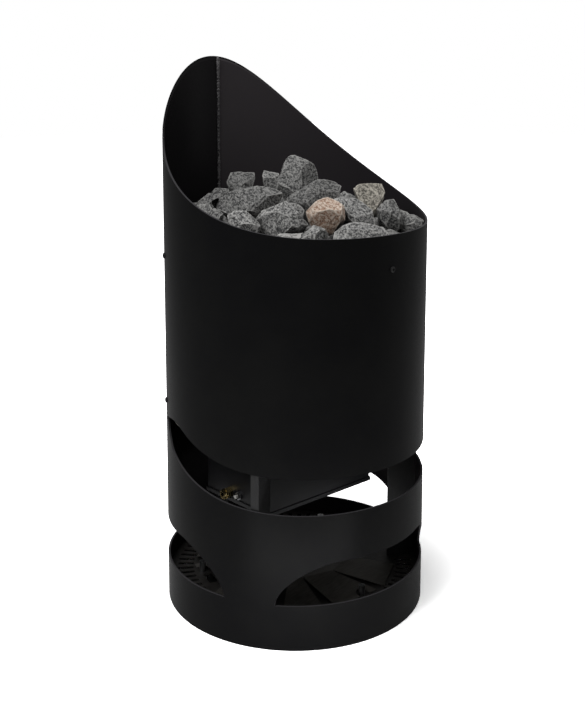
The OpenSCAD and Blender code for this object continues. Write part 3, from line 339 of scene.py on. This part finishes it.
# %% Finishes for the CAD nodes
finish_of = {
    "casing": casing_coat, "black_steel": inner_coat, "frame_steel": box_coat,
    "raw_steel": raw_sheet, "zinc": zinc_plate, "brass": brass_turned, "element": element_tube,
    "lead": nickel_lead, "ceramic": ceramic_glaze, "white_plastic": white_plastic,
    "dark_plastic": dark_plastic, "seal": rubber,
    "stone": grey_rock, "stone_tan": tan_rock, "stone_light": light_rock,
}
slot_of = {s["node"]: s["material_slot"] for s in frame["record"]["subparts"]}
special = {"base_plate": base_sheet, "heat_deflector": deflector_sheet}
for name, piece in nodes.items():
    piece.data.materials.clear()
    piece.data.materials.append(special.get(name, finish_of[slot_of[name]]))
print(len(nodes), "CAD nodes have a finish")

# %% [markdown]
# A stone from the CAD is a convex block. A split stone is that block broken further: a few
# large faces where it parted, and many small ones where corners were knocked off. A mason
# would strike the corners one by one, and so does this cell: planes cut the block, the large
# ones only on the side that is seen, so that the outline from the photo stays.

# %% Break the corners off a block
facing = math.radians(-42.5)
weld_dist = 0.02 * MM
large_chips, small_chips = 6, 12
large_share, small_share = (0.05, 0.13), (0.008, 0.035)
toward_viewer = Vector((math.sin(facing), -math.cos(facing), 0.45)).normalized()


def loose_parts(piece):
    """The separate solids of a CAD node, each as a list of triangles of points."""
    bm = bmesh.new()
    bm.from_mesh(piece.data)
    bmesh.ops.remove_doubles(bm, verts=bm.verts, dist=weld_dist)
    left = set(bm.verts)
    parts = []
    while left:
        front = [left.pop()]
        group = set(front)
        while front:
            for e in front.pop().link_edges:
                for other in e.verts:
                    if other in left:
                        left.discard(other)
                        group.add(other)
                        front.append(other)
        faces = {f for v in group for f in v.link_faces}
        parts.append(sorted([tuple(tuple(v.co) for v in f.verts) for f in faces]))
    bm.free()
    return sorted(parts)


def chipped(triangles, seed):
    """The block with a few large faces and many small ones struck off."""
    bm = bmesh.new()
    for corners in triangles:
        bm.faces.new([bm.verts.new(c) for c in corners])
    bmesh.ops.remove_doubles(bm, verts=bm.verts, dist=weld_dist)
    pick = random.Random(seed)
    size = max((a.co - b.co).length for a in bm.verts for b in bm.verts)
    for k in range(large_chips + small_chips):
        way = Vector([pick.gauss(0, 1) for _ in range(3)]).normalized()
        if k < large_chips:
            while way.dot(toward_viewer) < 0.72:
                way = Vector([pick.gauss(0, 1) for _ in range(3)]).normalized()
        share = pick.uniform(*(large_share if k < large_chips else small_share))
        reach = max(v.co.dot(way) for v in bm.verts)
        bmesh.ops.bisect_plane(
            bm, geom=bm.verts[:] + bm.edges[:] + bm.faces[:], dist=1e-6,
            plane_co=way * (reach - size * share), plane_no=way, clear_outer=True)
        open_edges = [e for e in bm.edges if e.is_boundary]
        if open_edges:
            bmesh.ops.holes_fill(bm, edges=open_edges)
    bmesh.ops.triangulate(bm, faces=bm.faces[:])
    bmesh.ops.recalc_face_normals(bm, faces=bm.faces[:])
    made = bpy.data.meshes.new("block")
    bm.to_mesh(made)
    bm.free()
    return made


heap = ("stones_front", "stones_middle", "stones_back")
print("grey stones in the heap:", sum(len(loose_parts(nodes[name])) for name in heap))

# %% [markdown]
# The broken faces are rough to the touch. The Remesh modifier covers each block with an even
# net that keeps the sharp edges, and every point of the net moves inwards by a wide swell,
# creases and a fine grit. Then the net itself says where it sticks out: a point that stands
# above the middle of its neighbours is on a ridge. That goes to the rock material, which
# paints a highlight on the ridges and shade in the creases.

# %% Roughen a block
swell_width, crease_width, grit_width = 26 * MM, 13 * MM, 3.2 * MM
grit_height = 0.32 * MM
crease_span = 0.10


def plain_mesh(holder):
    """The mesh that an object's modifiers make. The object itself goes."""
    graph = bpy.context.evaluated_depsgraph_get()
    made = bpy.data.meshes.new_from_object(holder.evaluated_get(graph))
    bpy.data.objects.remove(holder)
    return made


def rough_stone(block, cell, seed, depth):
    """Remeshes a block evenly and breaks its surface. Returns points, faces and how far each point
    sticks out, for the painted ridge highlight and crease shade.
    """
    holder = bpy.data.objects.new("block", block)
    scene.collection.objects.link(holder)
    evened = holder.modifiers.new("even", "REMESH")
    evened.mode = "SHARP"
    evened.use_remove_disconnected = True
    # The net's cell is the longest side of the block over scale times a power of two
    longest = max(holder.dimensions)
    evened.octree_depth = math.ceil(math.log2(longest / (0.95 * cell)))
    evened.scale = longest / (cell * 2 ** evened.octree_depth)
    evened.sharpness = 1.0
    dense = plain_mesh(holder)
    count = len(dense.vertices)
    points, normals = np.zeros(count * 3), np.zeros(count * 3)
    dense.vertices.foreach_get("co", points)
    dense.vertices.foreach_get("normal", normals)
    points, normals = points.reshape(-1, 3), normals.reshape(-1, 3)
    faces = np.array([tuple(p.vertices) for p in dense.polygons])
    bpy.data.meshes.remove(dense)
    bpy.data.meshes.remove(block)
    shift = Vector((seed * 0.37, seed * 0.71, seed * 0.13))
    moved = np.zeros(count)
    for i, p in enumerate(map(Vector, points)):
        swell = noise.noise((p + shift) / swell_width)
        crease = max(crease_span - abs(noise.noise((p - shift) / crease_width)), 0) / crease_span
        grit = noise.fractal((p + shift) / grit_width, 0.7, 2.1, 3)
        moved[i] = depth * (0.5 * swell - 0.5 - 0.5 * crease) + grit_height * grit
    made = points + normals * np.minimum(moved, 0.1 * MM)[:, None]
    near = np.zeros((count, 3))
    links = np.zeros(count)
    sides = [(a, (a + step) % 4) for a in range(4) for step in (1, 3)]
    for a, b in sides:
        np.add.at(near, faces[:, a], made[faces[:, b]])
        np.add.at(links, faces[:, a], 1)
    level = ((made - near / links[:, None]) * normals).sum(1) / cell
    for _ in range(2):
        total = np.zeros(count)
        for a, b in sides:
            np.add.at(total, faces[:, a], level[faces[:, b]])
        level = 0.5 * level + 0.5 * total / links
    return made, faces, np.clip(0.5 + 4.0 * level, 0, 1)


ridge_angle = math.radians(32)


def stone_group(name, finish, cell, depth, seed):
    """One object with all the stones of a CAD node, which it stands for."""
    points, faces, ridge_shading_values, tones = [], [], [], []
    pick = random.Random(seed)
    start = 0
    for k, part in enumerate(loose_parts(nodes[name])):
        p, f, w = rough_stone(chipped(part, seed + k), cell, seed + k, depth)
        points.append(p)
        faces.append(f + start)
        ridge_shading_values.append(w)
        tones.append(np.full(len(p), pick.uniform(0.15, 0.95)))
        start += len(p)
    faces = np.concatenate(faces)
    mesh = bpy.data.meshes.new(name + "_rough")
    mesh.from_pydata(np.concatenate(points).tolist(), [], faces.tolist())
    # How far each point sticks out, for the painted ridge highlight and crease shade, and one tone
    # per stone
    for label, values in (("ridge_highlight_and_crease_shade", ridge_shading_values), ("stone_tone", tones)):
        held = mesh.attributes.new(label, "FLOAT", "POINT")
        held.data.foreach_set("value", np.concatenate(values))
    mesh.materials.append(finish)
    mesh.polygons.foreach_set("use_smooth", np.ones(len(mesh.polygons), bool))
    mesh.set_sharp_from_angle(angle=ridge_angle)
    mesh.update()
    made = bpy.data.objects.new(name + "_rough", mesh)
    scene.collection.objects.link(made)
    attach(made, "frame")
    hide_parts(name)
    print(name, len(points), "stones", 2 * len(faces), "triangles")


net = 1.6 * MM
stone_group("stones_front", grey_rock, net, 1.5 * MM, 100)
stone_group("stones_middle", grey_rock, net, 1.5 * MM, 200)
stone_group("stones_back", grey_rock, net, 1.5 * MM, 300)
stone_group("stone_large", grey_rock, net, 1.6 * MM, 400)
stone_group("stone_tan", tan_rock, net, 1.0 * MM, 500)
stone_group("stone_light", light_rock, net, 1.2 * MM, 600)
stone_group("stone_cap", grey_rock, 2.6 * MM, 1.8 * MM, 700)

# %% [markdown]
# The casing is rolled from one sheet and welded along its back. Inside, the bead is a row of
# frozen drops, uneven in width and height, and thicker at the rim where the weld was started.
# The drops repeat along a line, so Geometry Nodes set them: a line of points, one flattened
# drop on each, turned and sized at random with a fixed seed. The result becomes a plain mesh.

# %% Weld drops along the seam
sheet, sunk = 3 * MM, 0.8 * MM
seam_r = casing_r - sheet - sunk
seam_foot = Vector((seam_r * math.sin(seam_turn), -seam_r * math.cos(seam_turn), 560 * MM))
seam_head = seam_foot + Vector((0, 0, 272 * MM))

drops = bpy.data.node_groups.new("weld_drops", "GeometryNodeTree")
wanted = {"Foot": ("Vector", seam_foot), "Head": ("Vector", seam_head), "Count": ("Int", 110),
          "Radius": ("Float", 2.6 * MM), "Seed": ("Int", 7), "Finish": ("Material", weld_coat)}
sockets = {
    name: drops.interface.new_socket(name, in_out="INPUT", socket_type="NodeSocket" + kind)
    for name, (kind, _) in wanted.items()}
drops.interface.new_socket("Geometry", in_out="OUTPUT", socket_type="NodeSocketGeometry")
given = add(drops, "NodeGroupInput").outputs
line = add(drops, "GeometryNodeMeshLine", {
    "Count": given["Count"], "Start Location": given["Foot"], "Offset": given["Head"]},
    mode="END_POINTS")
index = add(drops, "GeometryNodeInputIndex")
along = add(drops, "ShaderNodeMath", {0: index, 1: given["Count"]}, operation="DIVIDE")
swell = add(drops, "ShaderNodeMapRange", {0: along, 1: 0.88, 2: 0.94, 3: 1.0, 4: 1.35})
uneven = add(drops, "FunctionNodeRandomValue", {
    0: (0.6, 0.55, 0.7), 1: (1.1, 1.0, 1.5), "Seed": given["Seed"]}, data_type="FLOAT_VECTOR")
sized = add(drops, "ShaderNodeVectorMath", {0: uneven, "Scale": swell}, operation="SCALE")
turned = add(drops, "FunctionNodeRandomValue", {
    0: (-0.5, -0.5, -0.4), 1: (0.5, 0.5, 0.4), "Seed": given["Seed"]}, data_type="FLOAT_VECTOR")
drop = add(drops, "GeometryNodeMeshIcoSphere", {"Radius": given["Radius"], "Subdivisions": 3})
placed = add(drops, "GeometryNodeInstanceOnPoints", {
    "Points": line, "Instance": drop, "Rotation": turned, "Scale": sized})
solid = add(drops, "GeometryNodeRealizeInstances", {0: placed})
smooth = add(drops, "GeometryNodeSetShadeSmooth", {0: solid})
coated = add(drops, "GeometryNodeSetMaterial", {"Geometry": smooth, "Material": given["Finish"]})
add(drops, "NodeGroupOutput", {0: coated})

holder = bpy.data.objects.new("weld_holder", bpy.data.meshes.new("weld_holder"))
scene.collection.objects.link(holder)
setter = holder.modifiers.new("weld_drops", "NODES")
setter.node_group = drops
for name, (_, value) in wanted.items():
    setter[sockets[name].identifier] = value
weld_mesh = plain_mesh(holder)
weld_mesh.materials.clear()
weld_mesh.materials.append(weld_coat)
weld_mesh.polygons.foreach_set("material_index", np.zeros(len(weld_mesh.polygons), int))
weld = bpy.data.objects.new("weld_drops", weld_mesh)
scene.collection.objects.link(weld)
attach(weld, "frame")
print("weld:", len(weld_mesh.polygons), "triangles")

# %% [markdown]
# A photo studio for a black object on white: the backdrop is white to the camera only, one
# wide lamp from the upper left does the work, and little light comes from elsewhere, so the
# inside of the casing and the base stay dark. The floor is white too and keeps the heater's
# soft shadow. Its colour is above one for the camera, as a cut-out photo's would be, and
# higher still far from the heater, so that it meets the backdrop without a line. Under the
# heater the camera sees it painted nearly black, as painted shade where little light gets
# in, so the vents read as holes. A long low strip stands in for the light that a studio floor
# throws back at the foot.

# %% World, floor and lamps
scene.view_settings.view_transform = "Standard"
world = bpy.data.worlds.new("studio")
scene.world = world
world.use_nodes = True
sky = world.node_tree
sky.nodes.clear()
seen = add(sky, "ShaderNodeLightPath").outputs["Is Camera Ray"]
plain = add(sky, "ShaderNodeBackground", {"Color": (1, 1, 1, 1), "Strength": 0.27})
white = add(sky, "ShaderNodeBackground", {"Color": (1, 1, 1, 1), "Strength": 1.0})
either = add(sky, "ShaderNodeMixShader", {0: seen, 1: plain, 2: white})
add(sky, "ShaderNodeOutputWorld", {0: either})

floor_finish, tree = new_finish("white_studio_floor")
seen = add(tree, "ShaderNodeLightPath").outputs["Is Camera Ray"]
matt = add(tree, "ShaderNodeBsdfDiffuse", {"Color": (0.8, 0.8, 0.8, 1)})
far_off = add(tree, "ShaderNodeVectorMath", {0: add(tree, "ShaderNodeTexCoord").outputs["Object"]},
              operation="LENGTH").outputs["Value"]
lift = add(tree, "ShaderNodeMapRange", {0: far_off, 1: 0.22, 2: 0.8, 3: 2.0, 4: 6.0})
# Painted shade: for the camera the floor goes near black under the heater
under = add(tree, "ShaderNodeMapRange", {0: far_off, 1: 0.185, 2: 0.195, 3: 0.02, 4: 1.0})
lift = add(tree, "ShaderNodeMath", {0: lift, 1: under}, operation="MULTIPLY")
shown = add(tree, "ShaderNodeBsdfDiffuse", {"Color": lift})
either = add(tree, "ShaderNodeMixShader", {0: seen, 1: matt, 2: shown})
add(tree, "ShaderNodeOutputMaterial", {0: either})

floor_half, floor_drop = 9.0, 0.2 * MM
floor_mesh = bpy.data.meshes.new("studio_floor")
corners = [(x * floor_half, y * floor_half, 0) for x, y in ((-1, -1), (1, -1), (1, 1), (-1, 1))]
floor_mesh.from_pydata(corners, [], [(0, 1, 2, 3)])
floor_mesh.materials.append(floor_finish)
floor = bpy.data.objects.new("studio_floor", floor_mesh)
scene.collection.objects.link(floor)
floor.location.z = -floor_drop

# Name, degrees to the right of the camera, distance, height, the height it is aimed at,
# width, depth and power
lamps = (("left_softbox", -45, 1.9, 2.3, 0.45, 1.2, 1.4, 40),
         ("top_softbox", -20, 0.4, 2.8, 0.45, 1.4, 1.4, 30),
         ("low_fill", 5, 0.42, 0.03, 0.05, 0.6, 0.05, 0.9),
         ("right_softbox", 100, 2.4, 1.2, 0.45, 0.9, 1.6, 5))
for name, turn, far, high, aim_z, wide, deep, power in lamps:
    light = bpy.data.lights.new(name, "AREA")
    light.shape = "RECTANGLE"
    light.size, light.size_y, light.energy = wide, deep, power
    lamp = bpy.data.objects.new(name, light)
    a = facing + math.radians(turn)
    lamp.location = (far * math.sin(a), -far * math.cos(a), high)
    lamp.rotation_mode = "QUATERNION"
    lamp.rotation_quaternion = (Vector((0, 0, aim_z)) - lamp.location).to_track_quat("-Z", "Y")
    scene.collection.objects.link(lamp)
    print(name, [round(v, 2) for v in lamp.location], power, "W")

# %% [markdown]
# The camera stands about where the photographer's did, worked out from the circles of the
# casing. The photo's uprights are nearly parallel, as a strongly shifted lens makes them. Here
# part of the shift is a tilt instead, so that views from other sides keep the heater in the
# picture, at the cost of a casing that widens a little towards its top.

# %% Camera
# The focal length is in points of the picture, the place in radii of the casing
frame_h = 715
focal_px, distance, height = 1085.7, 8.1874, 4.1784
tilt, roll, side = math.radians(8.264), math.radians(0.088), -0.0229
eye = bpy.data.cameras.new("photo_camera")
eye.sensor_width = 36.0
eye.lens = focal_px / frame_h * eye.sensor_width
eye.shift_y = -0.20
eye.clip_start, eye.clip_end = 0.05, 60
camera = bpy.data.objects.new("photo_camera", eye)
scene.collection.objects.link(camera)
stand = Matrix.Translation((side * casing_r, -distance * casing_r, height * casing_r))
aim = Matrix.Rotation(math.pi / 2 - tilt, 4, "X") @ Matrix.Rotation(roll, 4, "Z")
camera.matrix_world = Matrix.Rotation(facing, 4, "Z") @ stand @ aim
scene.camera = camera
print("camera at", [round(v, 3) for v in camera.matrix_world.translation])
